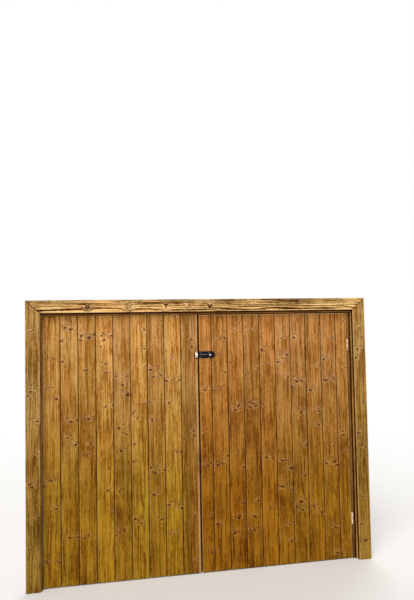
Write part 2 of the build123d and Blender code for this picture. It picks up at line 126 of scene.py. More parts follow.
def mesh_object(name, points, faces, material, smooth=True):
    """An object at the origin from an array of points and lists of faces, with one material."""
    mesh = bpy.data.meshes.new(name)
    mesh.from_pydata(np.asarray(points).tolist(), [], faces)
    mesh.materials.append(material)
    mesh.polygons.foreach_set("use_smooth", [smooth] * len(mesh.polygons))
    made = bpy.data.objects.new(name, mesh)
    bpy.context.scene.collection.objects.link(made)
    return made


fade_starts, fade_ends = 1.8, 7.0
floor_material = bpy.data.materials.new("pale_floor")
tree = new_tree(floor_material)
reach = make(tree, "VectorMath", {0: make(tree, "TexCoord")["Object"]}, operation="LENGTH")["Value"]
near_floor = make(tree, "BsdfDiffuse", {"Color": (0.80, 0.79, 0.77, 1)})[0]
far_floor = make(tree, "Emission", {"Color": (1, 1, 1, 1), "Strength": 1.0})[0]
fade = ramp(reach, fade_starts, fade_ends) * make(tree, "LightPath")["Is Camera Ray"]
make(tree, "OutputMaterial", {0: make(tree, "MixShader", {0: fade, 1: near_floor, 2: far_floor})[0]})

floor_half = 40.0
floor_corners = [(-floor_half, -floor_half, 0), (floor_half, -floor_half, 0), (floor_half, floor_half, 0),
                 (-floor_half, floor_half, 0)]
mesh_object("floor", floor_corners, [(0, 1, 2, 3)], floor_material, smooth=False)

surround = bpy.data.worlds.new("surround")
bpy.context.scene.world = surround
tree = new_tree(surround)
path = make(tree, "LightPath")
shown = calc("MAXIMUM", path["Is Camera Ray"], path["Is Glossy Ray"])
soft = make(tree, "Background", {"Color": (1.0, 0.99, 0.97, 1), "Strength": 0.42})[0]
white = make(tree, "Background", {"Color": (1, 1, 1, 1), "Strength": 1.0})[0]
make(tree, "OutputWorld", {0: make(tree, "MixShader", {0: shown, 1: soft, 2: white})[0]})


def sky_patch(name, come_from, spread, strength):
    """A broad far light, from a direction given as a place that it comes from, spread over an angle."""
    lamp = bpy.data.lights.new(name, "SUN")
    lamp.angle = math.radians(spread)
    lamp.energy = strength
    made = bpy.data.objects.new(name, lamp)
    made.rotation_euler = Vector(come_from).to_track_quat("Z", "Y").to_euler()
    bpy.context.scene.collection.objects.link(made)


sky_patch("front_sky", (-1.8, -4.0, 4.6), 40, 2.35)
sky_patch("back_sky", (1.5, 4.0, 3.0), 50, 1.3)

camera_place = Vector((-0.8552, -4.3228, 1.7475))
camera_turn, camera_tilt, camera_roll = 0.20335, 0.04779, -0.01809
ahead = Vector((math.sin(camera_turn), math.cos(camera_turn), 0))
forward = math.cos(camera_tilt) * ahead + Vector((0, 0, math.sin(camera_tilt)))
level = Vector((math.cos(camera_turn), -math.sin(camera_turn), 0))
plumb = level.cross(forward)
right = math.cos(camera_roll) * level + math.sin(camera_roll) * plumb
up = -math.sin(camera_roll) * level + math.cos(camera_roll) * plumb
camera_data = bpy.data.cameras.new("camera")
camera_data.lens = 35.94
camera_data.clip_end = 200
camera = bpy.data.objects.new("camera", camera_data)
camera.matrix_world = Matrix.Translation(camera_place) @ Matrix((right, up, -forward)).transposed().to_4x4()
bpy.context.scene.collection.objects.link(camera)
bpy.context.scene.camera = camera
bpy.context.scene.view_settings.view_transform = "Standard"

# Lining and hanging strip
# Three planks on edge line the opening behind the casing, and the strip that the hinges are screwed to is
# planted on the right one. All are planed pine under a see-through brown stain, and their sides in the recess
# are painted dark as shade.


def srgb(red, green, blue):
    """A colour as a picture shows it, 0 to 255, as the linear colour that a shader takes."""
    shown = np.array([red, green, blue]) / 255
    linear = np.where(shown <= 0.04045, shown / 12.92, ((shown + 0.055) / 1.055) ** 2.4)
    return (*[float(v) for v in linear], 1.0)


def mix(amount, first, second, blend="MIX"):
    """One colour mixed with another."""
    return make(tree_of(amount, first, second), "Mix", {0: amount, 6: first, 7: second}, data_type="RGBA",
                blend_type=blend)[2]


def vector(operation, first, second):
    """The result of a Vector Math node on two vectors."""
    return make(tree_of(first, second), "VectorMath", {0: first, 1: second}, operation=operation)[0]


def dot(place, direction):
    """How far a place lies along a direction."""
    return make(tree_of(place), "VectorMath", {0: place, 1: direction}, operation="DOT_PRODUCT")["Value"]


def parts(place):
    """The three parts of a vector."""
    parted = make(tree_of(place), "SeparateXYZ", {0: place})
    return parted[0], parted[1], parted[2]


def joined(x, y, z):
    """A vector from its three parts."""
    return make(tree_of(x, y, z), "CombineXYZ", {0: x, 1: y, 2: z})[0]


def noise(place, lumps, detail=3.0, roughness=0.55):
    """Noise from 0 to 1, with so many lumps to the metre along each part of the place."""
    inputs = {"Vector": vector("MULTIPLY", place, lumps), "Scale": 1.0, "Detail": detail,
              "Roughness": roughness}
    return make(tree_of(place), "TexNoise", inputs)[0]


def new_group(name, inputs, outputs):
    """A shader group with named sockets. Returns it with its inputs, by name."""
    group = bpy.data.node_groups.new(name, "ShaderNodeTree")
    kinds = {"colour": "NodeSocketColor", "vector": "NodeSocketVector", "value": "NodeSocketFloat"}
    for in_out, sockets in (("INPUT", inputs), ("OUTPUT", outputs)):
        for title, kind in sockets.items():
            group.interface.new_socket(title, in_out=in_out, socket_type=kinds[kind])
    return group, {socket.name: Output(socket) for socket in group.nodes.new("NodeGroupInput").outputs}


def close_group(group, results):
    """Links what a group has worked out to its outputs, by name."""
    last = group.nodes.new("NodeGroupOutput")
    for title, result in results.items():
        group.links.new(result.socket, last.inputs[title])


# A knot, given as how far across it lies, its radius, and how far along. The fibres part round it as water
# parts round a post, so the shift of a fibre is its distance across from the knot, times the square of the
# knot's radius over the square of its distance. The rings rise over it in a hill, so that they close round
# it. The stain stays pale in the cloud of curly wood that reaches up from a knot, and the cloud ends below
# the knot in a curve. The fibres part over more of the length than of the width, and a core is wider than it
# is long. Each ramp runs in radii of the knot.
length_share, core_width_share = 0.7, 0.55
raggedness = 2.4
cloud_curve = 4.0
knot_group, given = new_group("knot", {"Place": "vector", "Knot": "vector"},
                              {"Shift": "value", "Rise": "value", "Core": "value", "Cloud": "value"})
across, _, along = parts(vector("SUBTRACT", given["Place"], given["Knot"]))
radius = parts(given["Knot"])[1]
round_square = across * across + along * along * length_share
parting = across * radius * radius / calc("MAXIMUM", round_square, radius * radius)
radii_off = calc("SQRT", round_square) / radius
ragged = noise(given["Place"], (75.0, 0.0, 75.0), 2.0)
core_square = across * across * core_width_share + along * along
core_off = calc("SQRT", core_square) / radius + (ragged - 0.5) * raggedness
above = (along - across * across * cloud_curve) / radius
aside = abs(across) / radius
close_group(knot_group, {
    "Shift": parting * ramp(radii_off, 2.0, 7.0, 1.4, 0.0),
    "Rise": ramp(radii_off, 0.3, 3.6, 1.0, 0.0),
    "Core": ramp(core_off, 0.6, 1.15, 1.0, 0.0),
    "Cloud": ramp(above, -2.4, -1.4) * ramp(above, 0.5, 8.0, 1.0, 0.0) * ramp(aside, 2.5, 9.0, 1.0, 0.0)})

# The wood of a plank, with its stain. Every plank has a piece number, which gives it its own stretch of wood.
# Outside, the stain goes from a paler brown at the head of the door to a darker olive at its foot.
olive_up_to = 0.2
stretch_apart = (9.0, 5.0, 23.0)
pine_group, given = new_group(
    "stained_pine",
    {"Place": "vector", "Height": "value", "Piece": "value", "Shift": "value", "Rise": "value",
     "Core": "value", "Cloud": "value", "Upper pale": "colour", "Upper dark": "colour",
     "Lower pale": "colour", "Lower dark": "colour", "Ring contrast": "value", "Rings": "value",
     "Small knots": "value"},
    {"Color": "colour", "Pale": "colour", "Bump": "value", "Roughness": "value"})
door_height = cad_box[1][2] - cad_box[0][2]
back_of_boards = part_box("panel_board_1")[1][1]
inside = ramp(parts(given["Place"])[1], back_of_boards - 0.001, back_of_boards)
up_the_door = calc("MAXIMUM", ramp(given["Height"], olive_up_to * door_height, door_height), inside)
pale = mix(up_the_door, given["Lower pale"], given["Upper pale"])
dark = mix(up_the_door, given["Lower dark"], given["Upper dark"])
own = make(pine_group, "TexWhiteNoise", {"W": given["Piece"]}, noise_dimensions="1D")["Color"]
wood_place = vector("ADD", given["Place"], vector("MULTIPLY", own, stretch_apart))
across, into, _ = parts(given["Place"])
wood_across, wood_into, wood_along = parts(wood_place)

# Pin knots: one candidate to each cell of wood, 45 mm wide and 140 mm long, of which a few are kept
cells_across, cells_along = 22.0, 7.0
smallest_pin, largest_pin, no_pin = 0.0018, 0.0048, 0.00005
cell_place = joined(wood_across * cells_across, wood_along * cells_along, 0.0)
cell = make(pine_group, "TexVoronoi", {"Vector": cell_place, "Scale": 1.0, "Randomness": 0.9},
            voronoi_dimensions="2D", feature="F1")
luck, size, _ = parts(cell["Color"])
pin_across, pin_along, _ = parts(cell["Position"])
pin_radius = calc("LESS_THAN", luck, given["Small knots"]) * ramp(size, 0.0, 1.0, smallest_pin, largest_pin)
pin_knot = joined(pin_across / cells_across, calc("MAXIMUM", pin_radius, no_pin), pin_along / cells_along)
pin = make(pine_group, "Group", {"Place": wood_place, "Knot": pin_knot}, node_tree=knot_group)
pin_core, pin_cloud = 0.85, 0.3
core = calc("MAXIMUM", given["Core"], pin["Core"] * pin_core)
cloud = calc("MAXIMUM", given["Cloud"], pin["Cloud"] * pin_cloud)
shift = given["Shift"] + pin["Shift"]
grain_place = joined(wood_across - shift, wood_into, wood_along)

# Rings: a plank sawn flat shows parabolas. A ring's number is the square of the distance from the heart line,
# plus a slow climb along the plank, a lean into it, a wander and the rise over the knots.
ring_bow, ring_climb, ring_lean, ring_wander = 9.0, 0.012, 0.5, 0.034
rings_over_knot, late_edge = 4.2, 2.2
heart_spread, heart_start = 0.16, 0.02
heart_line = parts(own)[0] * heart_spread - heart_start
heart_off = across - shift - heart_line
wander = noise(grain_place, (9.0, 9.0, 1.3), 2.0) * ring_wander
ring_place = heart_off * heart_off * ring_bow + wood_along * ring_climb + wander + into * ring_lean
ring_number = ring_place * given["Rings"] + given["Rise"] * rings_over_knot
late = calc("POWER", calc("PINGPONG", ring_number, 1.0), late_edge)

# The stain took unevenly, in long streaks, fine lines, short flecks and wide patches, some of them warmer
streaks = noise(grain_place, (40.0, 40.0, 1.8), 3.0, 0.6)
lines = noise(grain_place, (140.0, 140.0, 4.0), 2.0, 0.5)
flecks = noise(grain_place, (125.0, 125.0, 34.0), 2.0, 0.6)
fibres = noise(grain_place, (900.0, 900.0, 12.0), 2.0, 0.5)
patches = noise(wood_place, (7.0, 7.0, 4.5), 3.0, 0.6)
least_stain = 0.19
darkness = late * given["Ring contrast"] + least_stain
for layer, weight in ((streaks, 1.9), (lines, 2.3), (flecks, 1.4), (fibres, 0.4), (patches, 1.6)):
    darkness = darkness + (layer - 0.5) * weight
darkness = ramp(darkness, -0.4, 1.3)
cooler, warmer = (0.97, 1.01, 1.0, 1), (1.04, 0.98, 0.93, 1)
warmth = mix(ramp(noise(wood_place, (16.0, 16.0, 2.2), 3.0, 0.6), 0.36, 0.64), cooler, warmer)
wood = mix(1.0, mix(darkness, pale, dark), warmth, "MULTIPLY")

# Stain soaks up blue first, then green, so the deeper it lies the redder it is
thin_stain, thick_stain = (1.0, 1.12, 1.42, 1), (1.0, 0.90, 0.52, 1)
wood = mix(1.0, wood, mix(darkness, thin_stain, thick_stain), "MULTIPLY")

# In the cloud the wood is ashen, palest at the head of the door, and close to the knots short dark and bright
# dashes lie across the grain
ashen = mix(up_the_door, srgb(182, 136, 74), srgb(214, 172, 128))
bare = mix(up_the_door, srgb(204, 152, 80), srgb(234, 192, 138))
curl = noise(wood_place, (62.0, 40.0, 120.0), 3.0, 0.6)
close = ramp(cloud, 0.2, 0.85)
wood = mix(cloud * ramp(streaks, 0.38, 0.6, 0.15, 0.6), wood, mix(0.5, wood, ashen))
wood = mix(close * ramp(curl, 0.43, 0.34, 0.0, 0.6), wood, mix(0.7, pale, bare))
wood = mix(close * ramp(curl, 0.52, 0.60, 0.0, 0.78), wood, mix(0.6, dark, srgb(84, 40, 16)))

# Late wood stands proud and the fibres lie open, and the stain fills and smooths the wood where it is thick
core_cover = 0.92
late_relief, fibre_relief = 0.7, 0.5
bare_roughness, smoothed = 0.62, -0.12
close_group(pine_group, {"Color": mix(core * core_cover, wood, srgb(58, 22, 10)), "Pale": pale,
                         "Bump": late * late_relief - fibres * fibre_relief,
                         "Roughness": darkness * smoothed + bare_roughness})


def by_piece(piece, first, values):
    """The colour or place that belongs to a piece number, from a list that starts at the first number."""
    chosen = make(tree_of(piece), "ValToRGB", {0: (piece + (0.5 - first)) / float(len(values))})[0]
    stops = chosen.socket.node.color_ramp
    stops.interpolation = "CONSTANT"
    stops.elements.remove(stops.elements[-1])
    for number, value in enumerate(values):
        stop = stops.elements[0] if number == 0 else stops.elements.new(number / len(values))
        stop.color = (*value, 1)
    return chosen


def lay_marks(colour, marks, known):
    """Lays marks over a colour, one after another. A mark is a group with its own values, and takes the
    known values that it has sockets for."""
    for group, values in marks:
        wanted = [item.name for item in group.interface.items_tree if item.in_out == "INPUT"]
        given_values = {**known, **values, "Color": colour}
        inputs = {title: value for title, value in given_values.items() if title in wanted}
        colour = make(tree_of(colour), "Group", inputs, node_tree=group)["Color"]
    return colour


def pine_material(name, plank, upper, lower, knots=(), first_piece=0, tones=(), ring_contrast=0.55,
                  rings=330.0, small_knots=0.3, knot_strength=1.0, marks=()):
    """Stained pine. plank gives a spot's own place on its plank, the plank's piece number and the distance
    across it. upper and lower are the (pale, dark) stain at the head and at the foot of the door. knots holds
    the (across, up, radius in mm) of each plank's own knots and tones the tint of each plank, in the order of
    their piece numbers from the first, and marks the dark joints, painted shade and painted highlights laid
    over the stain."""
    material = bpy.data.materials.new(name)
    tree = new_tree(material)
    place = make(tree, "TexCoord")["Object"]
    plank_place, piece, across = plank(place)
    wood = {"Place": plank_place, "Height": parts(place)[2], "Piece": piece, "Shift": 0.0, "Rise": 0.0,
            "Core": 0.0, "Cloud": 0.0, "Upper pale": srgb(*upper[0]), "Upper dark": srgb(*upper[1]),
            "Lower pale": srgb(*lower[0]), "Lower dark": srgb(*lower[1]), "Ring contrast": ring_contrast,
            "Rings": rings, "Small knots": small_knots}
    no_knot = (0, 0.0001, 0)
    for turn in range(max((len(row) for row in knots), default=0)):
        # A colour ramp holds values up to 1, so a knot's height is halved for it. A plank without a knot this
        # turn gets one of no size.
        places = [(row[turn][0], row[turn][2] / 1000, row[turn][1] / 2) if turn < len(row) else no_knot
                  for row in knots]
        chosen = places[0] if len(places) == 1 else by_piece(piece, first_piece, places)
        one = make(tree, "VectorMath", {0: chosen, 1: (1, 1, 2)}, operation="MULTIPLY")[0]
        knot = make(tree, "Group", {"Place": plank_place, "Knot": one}, node_tree=knot_group)
        wood["Shift"] = knot["Shift"] * knot_strength + wood["Shift"]
        wood["Rise"] = knot["Rise"] + wood["Rise"]
        wood["Core"] = calc("MAXIMUM", wood["Core"], knot["Core"] * knot_strength)
        wood["Cloud"] = calc("MAXIMUM", wood["Cloud"], knot["Cloud"] * knot_strength)
    pine = make(tree, "Group", wood, node_tree=pine_group)
    colour = pine["Color"]
    if tones:
        tint = by_piece(piece, first_piece, [[part / 2 for part in tone] for tone in tones])
        colour = mix(1.0, colour, mix(1.0, tint, (2, 2, 2, 1), "MULTIPLY"), "MULTIPLY")
    colour = lay_marks(colour, marks, {"Place": place, "Plank place": plank_place, "Across": across,
                                       "Pale": pine["Pale"]})
    bump = make(tree, "Bump", {"Strength": 0.5, "Distance": 0.0006, "Height": pine["Bump"]})[0]
    surface = make(tree, "BsdfPrincipled", {"Base Color": colour, "Roughness": pine["Roughness"],
                                            "Normal": bump, "Specular IOR Level": 0.05})[0]
    make(tree, "OutputMaterial", {0: surface})
    return material


def finish_nodes(material, *names):
    """Gives CAD nodes their material."""
    for name in names:
        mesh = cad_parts[name].data
        for index in range(len(mesh.materials)):
            mesh.materials[index] = material


def upright_plank(name, piece):
    """Where a spot lies on an upright plank: across from its left edge, into it and along it."""
    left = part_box(name)[0][0]

    def plank(place):
        x, y, z = parts(place)
        return joined(x - left, y, z), piece, x - left
    return plank


def stained_plank(name, piece, way, **looks):
    """Gives a CAD node pine of its own, by its piece number, with the grain the way that the plank lies."""
    finish_nodes(pine_material(f"{name}_pine", way(name, piece), **looks), name)


def plank_on_edge(name, piece):
    """Where a spot lies on a plank of the lining: across from its front edge, into it and along it, upright
    or level as its box is longer."""
    low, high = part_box(name)
    level = high[0] - low[0] > high[2] - low[2]

    def plank(place):
        x, y, z = parts(place)
        return joined(y - low[1], z if level else x, x if level else z), piece, y - low[1]
    return plank


# Painted shade in the recess: the sides of a plank that face the opening are painted dark, from just behind
# the eased edge of its front to just behind the boards, and none of it lies under the casing
recess_shade, given = new_group("recess_shade", {"Color": "colour", "Place": "vector", "Front": "value",
                                               "Ease": "value"}, {"Color": "colour"})
recess_left, recess_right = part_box("casing_left")[1][0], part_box("casing_right")[0][0]
recess_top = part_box("casing_head")[0][2]
recess_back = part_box("panel_board_1")[0][1] + 0.02
under_casing = 0.002
x, y, z = parts(given["Place"])
painted_shade = ramp(y, given["Front"] + given["Ease"], given["Front"] + given["Ease"] * 2.5, 0.0, 0.93)
for value, edge, thins_out in ((y, recess_back, 0.001), (x, recess_left, -under_casing),
                               (x, recess_right, under_casing), (z, recess_top, under_casing)):
    painted_shade = painted_shade * ramp(value, edge + thins_out, edge)
close_group(recess_shade, {"Color": mix(painted_shade, given["Color"], srgb(30, 14, 4))})

# Painted shade in a corner: the front of a plank is painted darker between an unshaded and a shaded
# distance along a direction
corner_shade, given = new_group("corner_shade", {"Color": "colour", "Place": "vector", "Direction": "vector",
                                               "Unshaded": "value", "Shaded": "value", "Front": "value"},
                               {"Color": "colour"})
painted_shade = ramp(dot(given["Place"], given["Direction"]), given["Unshaded"], given["Shaded"], 0.0, 0.95)
painted_shade = painted_shade * ramp(parts(given["Place"])[1], given["Front"] + 0.006, given["Front"] + 0.012, 1.0, 0.0)
close_group(corner_shade, {"Color": mix(painted_shade, given["Color"], srgb(22, 9, 4))})

lining_stain = {"upper": ((196, 138, 68), (130, 82, 30)), "lower": ((156, 106, 32), (96, 56, 8)),
                "small_knots": 0.15}
lining_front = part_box("lining_head")[0][1]
# Painted shade on the sides of the linings in the recess
lining_recess = (recess_shade, {"Front": lining_front, "Ease": 0.0015})
for name, piece in (("lining_left", 41.0), ("lining_right", 42.0)):
    stained_plank(name, piece, plank_on_edge, **lining_stain, marks=[lining_recess])

# The head lining is a redder plank, painted darker than the side linings as the half-shade under the casing,
# and painted shade fills the corner between its front and the casing above it
head_lining_stain_and_shade = ((184, 120, 58), (122, 70, 28))
foot_of_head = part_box("lining_head")[0][2]
head_corner = (corner_shade, {"Direction": (0, 0, 1), "Unshaded": foot_of_head + 0.003,
                             "Shaded": foot_of_head + 0.009, "Front": lining_front})
stained_plank("lining_head", 44.0, plank_on_edge, upper=head_lining_stain_and_shade, lower=head_lining_stain_and_shade, small_knots=0.15,
              marks=[lining_recess, head_corner])

# Painted shade fills the corner between the front of the hanging strip and the right lining
strip_left, strip_front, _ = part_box("hanging_strip")[0]
strip_corner = (corner_shade, {"Direction": (1, 0, 0), "Unshaded": strip_left + 0.012,
                              "Shaded": strip_left + 0.017, "Front": strip_front})
stained_plank("hanging_strip", 43.0, upright_plank, upper=((166, 114, 62), (112, 68, 32)),
              lower=((138, 92, 42), (86, 50, 16)), small_knots=0.15, marks=[strip_corner])

# Casing
# Three pine planks are nailed to the front edges of the lining, mitred at the corners. They are the choicest
# planks of the door, with bold flat-sawn grain, and the head shows it most.


def level_plank(name, piece):
    """Where a spot lies on a level plank: across from its lower edge, into it and along it."""
    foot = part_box(name)[0][2]

    def plank(place):
        x, y, z = parts(place)
        return joined(z - foot, y, x), piece, z - foot
    return plank


# The mitre: a dark line where two planks meet, from the outer corner of the casing to the inner one
mitre_line, given = new_group("mitre_line", {"Color": "colour", "Place": "vector"}, {"Color": "colour"})
mitre_run, mitre_fall = Vector((recess_left - cad_box[0][0], cad_box[1][2] - recess_top)).normalized()
x, _, z = parts(given["Place"])
off_joint = abs((abs(x) - cad_box[1][0]) * mitre_fall - (z - cad_box[1][2]) * mitre_run)
close_group(mitre_line, {"Color": mix(ramp(off_joint, 0.001, 0.0032, 0.9, 0.0), given["Color"],
                                      srgb(44, 18, 6))})

# A painted highlight on an arris: the edge of a face is painted paler where light catches it. The edge
# lies square to a direction, at a distance along it.
arris_highlight, given = new_group(
    "arris_highlight",
    {"Color": "colour", "Place": "vector", "Plank place": "vector", "Pale": "colour", "Direction": "vector",
     "Distance": "value", "Width": "value", "Strength": "value", "Front": "value"}, {"Color": "colour"})
off_arris = abs(dot(given["Place"], given["Direction"]) - given["Distance"]) / given["Width"]
highlight = ramp(off_arris, 1.0, 2.0, 1.0, 0.0) * given["Strength"]
highlight = highlight * ramp(noise(given["Plank place"], (6.0, 6.0, 9.0)), 0.30, 0.54, 0.15, 1.0)
highlight = highlight * ramp(parts(given["Place"])[1], given["Front"] + 0.002, given["Front"] + 0.004, 1.0, 0.0)
lit_arris = mix(0.3, given["Pale"], srgb(246, 206, 146))
close_group(arris_highlight, {"Color": mix(highlight, given["Color"], lit_arris)})

casing_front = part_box("casing_head")[0][1]
# Painted shade on the inner sides of the casing
casing_recess = (recess_shade, {"Front": casing_front, "Ease": 0.002})

# The knots of each leg: across from its left edge, up, and radius in mm. The head's are across from its lower
# edge, along from the door's middle, and radius.
leg_knots = {
    "casing_left": [(0.045, 1.75, 5), (0.040, 1.39, 5), (0.080, 1.34, 5), (0.035, 1.34, 7), (0.020, 1.31, 5),
                    (0.075, 1.14, 8), (0.075, 0.92, 4), (0.025, 0.72, 8), (0.040, 0.70, 6), (0.055, 0.49, 4),
                    (0.020, 0.29, 6)],
    "casing_right": [(0.055, 1.73, 5), (0.070, 1.66, 5), (0.030, 1.57, 8), (0.080, 1.56, 7),
                     (0.020, 1.51, 7), (0.070, 1.17, 5), (0.015, 0.94, 9), (0.040, 0.85, 7),
                     (0.075, 0.83, 6), (0.045, 0.46, 6), (0.015, 0.26, 8), (0.050, 0.14, 10)]}
# Painted highlights along the arrises of the legs
for name, piece, highlight_strength in (("casing_left", 31.0, 0.3), ("casing_right", 36.0, 0.85)):
    arrises = [(arris_highlight, {"Direction": (1, 0, 0), "Distance": edge[0], "Width": 0.004,
                               "Strength": highlight_strength, "Front": casing_front})
               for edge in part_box(name)]
    stained_plank(name, piece, upright_plank, upper=((192, 146, 80), (104, 65, 19)),
                  lower=((158, 118, 44), (72, 43, 5)), knots=[leg_knots[name]], ring_contrast=0.6,
                  rings=220.0, marks=[*arrises, (mitre_line, {}), casing_recess])

head_stain = ((255, 200, 122), (54, 19, 3))
head_knots = [(0.030, -0.83, 10), (0.060, -0.56, 6), (0.030, -0.55, 12), (0.030, -0.28, 10),
              (0.035, -0.13, 9), (0.025, 0.04, 10), (0.075, 0.37, 7), (0.080, 0.73, 5), (0.075, 1.03, 7)]
# A painted highlight along the head's lower arris
head_arris = (arris_highlight, {"Direction": (0, 0, 1), "Distance": recess_top, "Width": 0.004,
                             "Strength": 0.85, "Front": casing_front})
stained_plank("casing_head", 33.0, level_plank, upper=head_stain, lower=head_stain, knots=[head_knots],
              ring_contrast=1.6, rings=205.0, small_knots=0.1, knot_strength=0.5,
              marks=[head_arris, (mitre_line, {}), casing_recess])

# Post, rails and stops
# The post stands between the panel and the leaf, three rails carry the panel's boards from behind, and the
# leaf shuts against the stops. All are planed pine with one thin coat of stain, so they are paler than the
# front.

# Painted shade on the faces behind the gap beside the leaf, where they are seen through it
gap_shade, given = new_group("gap_shade", {"Color": "colour", "Place": "vector", "Front": "value"},
                            {"Color": "colour"})
painted_shade = ramp(parts(given["Place"])[1], given["Front"] + 0.03, given["Front"] + 0.002, 0.0, 0.9)
close_group(gap_shade, {"Color": mix(painted_shade, given["Color"], srgb(30, 16, 9))})

framing_stain = {"upper": ((205, 162, 108), (160, 112, 62)), "lower": ((196, 150, 92), (148, 100, 48))}
# Painted shade on the post and its stop where they show through the gap
behind_gap = (gap_shade, {"Front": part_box("centre_post")[0][1]})
for name, piece in (("centre_post", 51.0), ("post_stop", 52.0)):
    stained_plank(name, piece, upright_plank, **framing_stain, marks=[behind_gap])
for name, piece in (("head_stop", 61.0), ("panel_top_rail", 62.0), ("panel_middle_rail", 63.0),
                    ("panel_bottom_rail", 64.0)):
    stained_plank(name, piece, level_plank, **framing_stain)

# Fixed panel
# Eight whole tongue and groove boards of pine and a ripped one stand side by side in the left half of the
# door, screwed to the rails from behind. Each has a vee along both edges, and takes the stain in its own way.
board_cover = 0.121
board_vee = 0.0035
board_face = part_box("panel_board_1")[0][1]


def row_of_boards(first_joint):
    """Where a spot lies on its board, in a row whose joints stand a board's cover apart: across from the
    board's left edge, into it and along it. The board's number counts from the first joint."""
    def plank(place):
        x, y, z = parts(place)
        number = calc("FLOOR", (x - first_joint) / board_cover)
        across = x - first_joint - number * board_cover
        return joined(across, y, z), number, across
    return plank


# A joint between boards: stain has gathered in the vee and smeared beside it, and the vee is also painted
# dark as its shade. The next arris is painted paler as a highlight.
vee_joint, given = new_group("vee_joint", {"Color": "colour", "Place": "vector", "Plank place": "vector",
                                           "Across": "value", "Pale": "colour", "Front": "value",
                                           "Vee": "value"}, {"Color": "colour"})
across, vee = given["Across"], given["Vee"]
depth = parts(given["Place"])[1] - given["Front"]
uneven = ramp(noise(given["Plank place"], (8.0, 8.0, 11.0)), 0.36, 0.62)
# A painted highlight on the arris beside the joint
arris = ramp(across, vee * 0.4, vee) * ramp(across, vee * 2.0, vee * 3.2, 0.4, 0.0)
short_of_joint = (across - board_cover) * -1.0
smear = ramp(short_of_joint, vee * 2.4, vee) * ramp(short_of_joint, 0.0, vee * 0.1, 0.0, 0.45)
# The vee is darkened for its stain and as painted shade
sunk = ramp(depth, vee * 0.05, vee * 0.5) * ramp(depth, vee * 2.0, vee * 3.0, 0.93, 0.0)
colour = mix(arris * uneven, given["Color"], mix(0.4, given["Pale"], srgb(236, 190, 128)))
colour = mix(smear, colour, srgb(78, 38, 12))
close_group(vee_joint, {"Color": mix(sunk, colour, mix(uneven, srgb(30, 12, 4), srgb(54, 26, 8)))})

board_joint = (vee_joint, {"Front": board_face, "Vee": board_vee})
panel_tones = [(0.96, 0.92, 0.86), (0.99, 0.99, 0.98), (0.97, 0.94, 0.86), (1.10, 1.10, 1.06),
               (0.91, 0.89, 0.92), (1.08, 1.10, 1.06), (0.97, 0.96, 1.0), (1.10, 1.12, 1.10),
               (0.84, 0.80, 0.76)]

# The knots that show on each board, from the left: across from the board's left edge, up, and radius in mm
panel_knots = [
    [(0.030, 1.63, 4), (0.075, 1.56, 5), (0.045, 1.36, 5), (0.095, 1.28, 6), (0.050, 0.73, 6),
     (0.060, 0.72, 7), (0.010, 0.69, 5), (0.090, 0.53, 7), (0.025, 0.18, 5), (0.110, 0.17, 7)],
    [(0.030, 1.77, 8), (0.070, 1.76, 8), (0.010, 1.68, 6), (0.015, 1.53, 6), (0.115, 1.13, 6),
     (0.070, 1.12, 8), (0.050, 1.01, 6), (0.100, 0.96, 8), (0.055, 0.33, 6), (0.110, 0.33, 6)],
    [(0.110, 1.72, 8), (0.025, 1.71, 7), (0.075, 1.70, 9), (0.015, 1.68, 7), (0.060, 1.47, 5),
     (0.070, 1.13, 8), (0.105, 1.13, 6), (0.080, 0.96, 6), (0.055, 0.88, 6), (0.040, 0.32, 7)],
    [(0.040, 1.71, 7), (0.110, 1.71, 7), (0.060, 1.68, 6), (0.035, 1.63, 5), (0.065, 1.51, 6),
     (0.070, 1.45, 6), (0.115, 1.22, 6), (0.065, 1.21, 6), (0.080, 0.63, 6), (0.115, 0.48, 6)],
    [(0.015, 1.42, 7), (0.100, 1.42, 7), (0.065, 1.36, 7), (0.100, 1.29, 9), (0.035, 1.06, 9),
     (0.090, 1.01, 6), (0.050, 0.90, 7), (0.035, 0.62, 6), (0.065, 0.35, 6), (0.010, 0.32, 7)],
    [(0.100, 1.75, 6), (0.105, 1.61, 6), (0.105, 1.49, 5), (0.105, 1.22, 5), (0.015, 1.16, 8),
     (0.045, 1.12, 6), (0.025, 0.94, 5), (0.015, 0.82, 6), (0.020, 0.42, 7), (0.065, 0.39, 6)],
    [(0.020, 1.46, 8), (0.095, 1.42, 7), (0.040, 1.41, 7), (0.015, 1.23, 6), (0.030, 1.10, 6),
     (0.015, 0.77, 8), (0.115, 0.75, 7), (0.045, 0.73, 8), (0.035, 0.58, 8), (0.085, 0.40, 7)],
    [(0.085, 1.84, 5), (0.060, 1.54, 5), (0.010, 1.38, 8), (0.105, 1.38, 8), (0.030, 1.22, 6),
     (0.115, 0.87, 8), (0.085, 0.87, 6), (0.020, 0.50, 8), (0.110, 0.47, 8), (0.050, 0.30, 7)],
    [(0.015, 0.96, 6), (0.015, 0.36, 4)]]
panel_wood = pine_material(
    "panel_pine", row_of_boards(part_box("panel_board_1")[0][0]), upper=((214, 157, 86), (134, 80, 22)),
    lower=((166, 121, 28), (92, 54, 2)), knots=panel_knots, tones=panel_tones, marks=[board_joint])
finish_nodes(panel_wood, *[f"panel_board_{number}" for number in range(1, 9)], "panel_ripped_board")

# Facing and narrow strip
# A pine plank is nailed to the front of the post, and a narrow strip makes up the width between it and the
# last board. A highlight is painted along the facing's edge at the gap beside the leaf.

